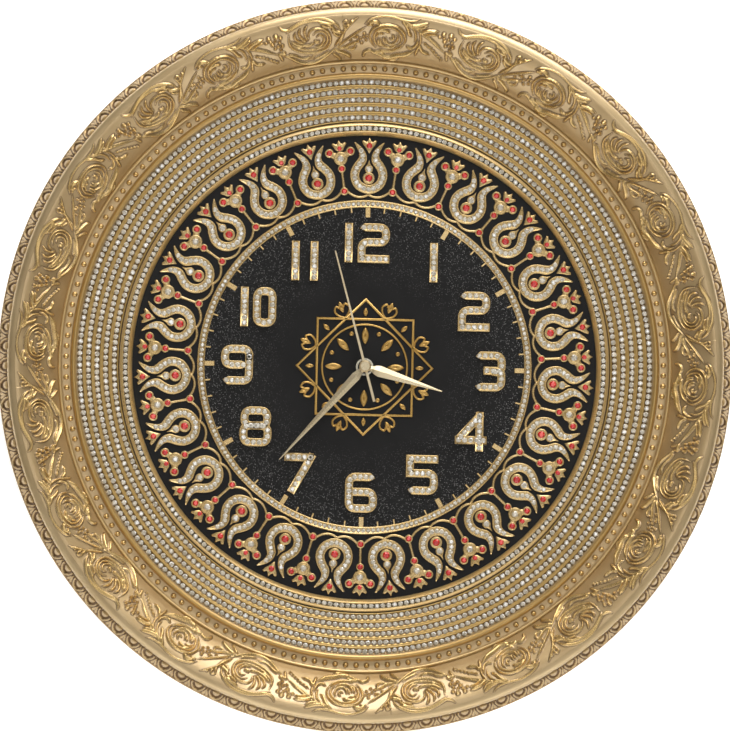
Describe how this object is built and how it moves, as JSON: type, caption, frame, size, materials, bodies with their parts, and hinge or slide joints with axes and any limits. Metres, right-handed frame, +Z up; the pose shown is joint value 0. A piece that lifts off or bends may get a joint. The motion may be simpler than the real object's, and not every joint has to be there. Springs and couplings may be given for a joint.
{
  "type": "ornate wall clock",
  "caption": "Round gilt wall clock with a deep scroll-moulded frame, stepped rows of stones, black dial, plain hour figures, three hands and a quartz movement.",
  "frame": {"origin": "on the wall plane, on the hands' axis", "axes": "+Y into the wall, so the dial faces -Y; +X to the right of a person facing the dial; +Z up"},
  "size_m": [0.42, 0.0517, 0.42],
  "materials": {
    "frame_gold": "gold lacquer, satin",
    "dial_black": "black with fine sparkle",
    "bezel_gold": "gold lacquer",
    "numeral_gold": "gold lacquer",
    "hand_gold": "pale gold anodised",
    "nut_silver": "bright",
    "rubber": "matt",
    "case_black": "fine grain",
    "gear_white": "moulded",
    "magnet": "ground",
    "steel": "stamped",
    "copper": "enamelled wire",
    "board": "lacquered",
    "chip_black": "resin",
    "can": "drawn can",
    "cell": "plain sleeve",
    "contact": "plated",
    "zinc": "zinc plated",
    "stone_clear": "faceted, foil backed",
    "stone_red": "faceted, foil backed",
    "relief_gold": "gold lacquer"
  },
  "bodies": {
    "clock": {"frame": "frame_gold", "scroll_relief": "frame_gold", "tulip_band": "relief_gold", "dial_plate": "dial_black", "bezel_ring": "bezel_gold", "numerals": "numeral_gold", "fixing_nut": "nut_silver", "dial_gasket": "rubber", "case_front": "case_black", "middle_plate": "gear_white", "case_rear": "case_black", "stator": "steel", "coil_core": "steel", "coil_bobbin": "gear_white", "coil_winding": "copper", "circuit_board": "board", "chip": "chip_black", "quartz_crystal": "can", "contact_plus": "contact", "contact_minus": "contact", "hanger_plate": "zinc", "hanger_screws": "zinc"},
    "seconds": {"seconds_hand": "hand_gold", "seconds_cap": "hand_gold", "seconds_wheel": "gear_white"},
    "minutes": {"minute_hand": "hand_gold", "minute_wheel": "gear_white"},
    "hours": {"hour_hand": "hand_gold", "hour_wheel": "gear_white"},
    "third": {"third_wheel": "gear_white"},
    "motion": {"motion_wheel": "gear_white"},
    "intermediate": {"intermediate_wheel": "gear_white"},
    "rotor": {"rotor": "magnet"},
    "setting": {"setting_knob": "gear_white"},
    "cell": {"battery": "cell"}
  },
  "joints": [
    {"name": "seconds_turn", "type": "hinge", "parent": "clock", "child": "seconds", "pos_m": [0, 0, 0], "axis": [0, 1, 0], "continuous": true},
    {"name": "minutes_turn", "type": "hinge", "parent": "clock", "child": "minutes", "pos_m": [0, 0, 0], "axis": [0, 1, 0], "continuous": true},
    {"name": "hours_turn", "type": "hinge", "parent": "clock", "child": "hours", "pos_m": [0, 0, 0], "axis": [0, 1, 0], "continuous": true},
    {"name": "third_turn", "type": "hinge", "parent": "clock", "child": "third", "pos_m": [-0.01108, 0, 0.00297], "axis": [0, 1, 0], "continuous": true},
    {"name": "motion_turn", "type": "hinge", "parent": "clock", "child": "motion", "pos_m": [0.01103, 0, 0.00194], "axis": [0, 1, 0], "continuous": true},
    {"name": "intermediate_turn", "type": "hinge", "parent": "clock", "child": "intermediate", "pos_m": [0.00473, 0, 0.00818], "axis": [0, 1, 0], "continuous": true},
    {"name": "rotor_turn", "type": "hinge", "parent": "clock", "child": "rotor", "pos_m": [0.00226, 0, 0.01495], "axis": [0, 1, 0], "continuous": true},
    {"name": "setting_turn", "type": "hinge", "parent": "clock", "child": "setting", "pos_m": [0.0131, 0, 0.01366], "axis": [0, 1, 0], "continuous": true},
    {"name": "cell_slide", "type": "slide", "parent": "clock", "child": "cell", "axis": [0, 1, 0], "range_m": [0, 0.03]}
  ],
  "couplings": [
    {"joint": "minutes_turn", "follows": "seconds_turn", "ratio": 0.016667},
    {"joint": "hours_turn", "follows": "seconds_turn", "ratio": 0.0013889},
    {"joint": "third_turn", "follows": "seconds_turn", "ratio": -0.13333},
    {"joint": "motion_turn", "follows": "seconds_turn", "ratio": -0.0055556},
    {"joint": "intermediate_turn", "follows": "seconds_turn", "ratio": -6},
    {"joint": "rotor_turn", "follows": "seconds_turn", "ratio": 30},
    {"joint": "setting_turn", "follows": "seconds_turn", "ratio": 0.013333}
  ]
}
